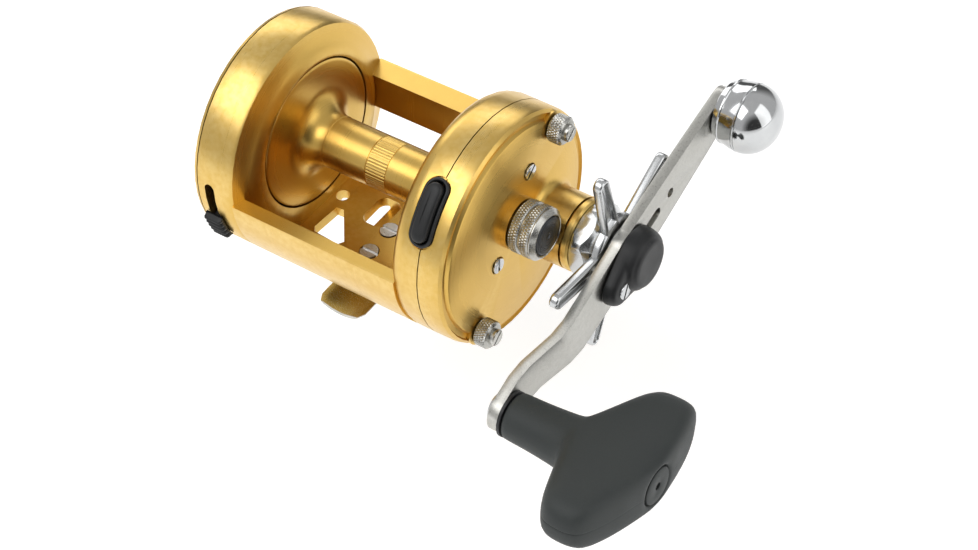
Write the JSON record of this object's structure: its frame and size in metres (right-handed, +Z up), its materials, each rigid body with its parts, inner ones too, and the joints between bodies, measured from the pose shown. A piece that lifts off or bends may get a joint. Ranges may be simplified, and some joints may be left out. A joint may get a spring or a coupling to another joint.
{
  "type": "trolling reel",
  "caption": "Conventional trolling reel: gold frame and spool, free-spool button, star drag, counterweighted crank with a T-shaped grip, clamp-down foot.",
  "frame": {"origin": "point on the foot's flat underside, straight below the spool axis and midway between the spool flanges", "axes": "+X along the spool axis towards the handle, +Y towards the rod tip, +Z up from the foot"},
  "size_m": [0.1463, 0.1348, 0.0689],
  "materials": {
    "gold_anodised": "satin gold anodised aluminium, fine turned lines",
    "chrome": "polished chrome plate",
    "satin_nickel": "satin nickel plate",
    "steel": "plain stainless steel",
    "brass": "machined brass",
    "black_plastic": "satin black moulding",
    "grip_rubber": "soft dark grey rubber",
    "drag_fibre": "dry pressed fibre"
  },
  "bodies": {
    "frame": {"frame_body": "gold_anodised", "left_cover": "gold_anodised", "cover_screw_1": "steel", "cover_screw_2": "steel", "cover_screw_3": "steel", "foot": "steel", "foot_screw_1": "steel", "foot_screw_2": "steel", "foot_screw_3": "steel", "side_plate": "gold_anodised", "plate_screw_upper": "chrome", "plate_screw_lower": "chrome", "boss_ring": "gold_anodised", "handle_bearing": "steel", "right_spool_bearing": "steel", "left_spool_bearing": "steel", "bridge_plate": "steel", "yoke_spring_1": "steel", "yoke_spring_2": "steel", "button_bezel": "black_plastic", "tension_shim": "brass"},
    "crank": {"drive_shaft": "steel", "main_gear": "brass", "ratchet_wheel": "steel", "drag_washer_inner": "drag_fibre", "drag_pressure_plate": "steel", "drag_washer_outer": "drag_fibre", "drag_spring_washer": "steel", "drag_sleeve": "brass", "handle_arm": "satin_nickel", "handle_nut": "steel", "nut_cover": "black_plastic", "cover_lock_screw": "chrome", "counterweight_ball": "chrome", "counterweight_rivet": "steel", "grip_washer": "black_plastic", "grip_spindle": "steel"},
    "star": {"star_wheel": "chrome", "star_collar": "chrome"},
    "grip": {"grip_body": "grip_rubber", "grip_plug": "grip_rubber"},
    "spool": {"spool": "gold_anodised", "spool_shaft": "steel", "click_wheel": "brass"},
    "yoke": {"clutch_yoke": "steel"},
    "pinion": {"pinion": "brass"},
    "button": {"free_spool_button": "black_plastic"},
    "tension_knob": {"tension_knob": "satin_nickel", "tension_knob_cap": "black_plastic"},
    "thumb_screw_upper": {"thumb_screw_upper": "satin_nickel"},
    "thumb_screw_lower": {"thumb_screw_lower": "satin_nickel"},
    "clicker": {"click_slider": "black_plastic"},
    "click_pawl": {"click_pawl": "steel"},
    "reverse_dog": {"reverse_dog": "steel"}
  },
  "joints": [
    {"name": "crank_turn", "type": "hinge", "parent": "frame", "child": "crank", "pos_m": [0, 0.0132, 0.0254], "axis": [1, 0, 0], "continuous": true},
    {"name": "drag_star", "type": "hinge", "parent": "crank", "child": "star", "pos_m": [0, 0.0132, 0.0254], "axis": [1, 0, 0], "range_deg": [-180, 180]},
    {"name": "grip_spin", "type": "hinge", "parent": "crank", "child": "grip", "pos_m": [0, -0.03643, 0.01023], "axis": [1, 0, 0], "continuous": true},
    {"name": "spool_spin", "type": "hinge", "parent": "frame", "child": "spool", "pos_m": [0, 0, 0.0357], "axis": [1, 0, 0], "continuous": true},
    {"name": "yoke_slide", "type": "slide", "parent": "frame", "child": "yoke", "axis": [1, 0, 0], "range_m": [0, 0.001]},
    {"name": "pinion_spin", "type": "hinge", "parent": "yoke", "child": "pinion", "pos_m": [0, 0, 0.0357], "axis": [1, 0, 0], "continuous": true},
    {"name": "button_press", "type": "slide", "parent": "frame", "child": "button", "axis": [0, 0.7314, -0.682], "range_m": [0, 0.0016], "stiffness_N_per_m": 400},
    {"name": "tension_knob_turn", "type": "hinge", "parent": "frame", "child": "tension_knob", "pos_m": [0, 0, 0.0357], "axis": [1, 0, 0], "range_deg": [-180, 180]},
    {"name": "thumb_screw_upper_turn", "type": "hinge", "parent": "frame", "child": "thumb_screw_upper", "pos_m": [0, 0.01874, 0.05381], "axis": [1, 0, 0], "range_deg": [0, 360]},
    {"name": "thumb_screw_lower_turn", "type": "hinge", "parent": "frame", "child": "thumb_screw_lower", "pos_m": [0, -0.01874, 0.01219], "axis": [1, 0, 0], "range_deg": [0, 360]},
    {"name": "clicker_slide", "type": "hinge", "parent": "frame", "child": "clicker", "pos_m": [0, 0, 0.033], "axis": [1, 0, 0], "range_deg": [-20, 0]},
    {"name": "click_pawl_swing", "type": "hinge", "parent": "frame", "child": "click_pawl", "pos_m": [0, -0.01785, 0.0292], "axis": [1, 0, 0], "range_deg": [0, 25]},
    {"name": "reverse_dog_lift", "type": "hinge", "parent": "frame", "child": "reverse_dog", "pos_m": [0, -0.004, 0.0155], "axis": [1, 0, 0], "range_deg": [0, 12]}
  ],
  "couplings": [
    {"joint": "spool_spin", "follows": "crank_turn", "ratio": -3.4},
    {"joint": "pinion_spin", "follows": "crank_turn", "ratio": -3.4},
    {"joint": "yoke_slide", "follows": "button_press", "ratio": 0.625},
    {"joint": "click_pawl_swing", "follows": "clicker_slide", "ratio": -1.25}
  ]
}
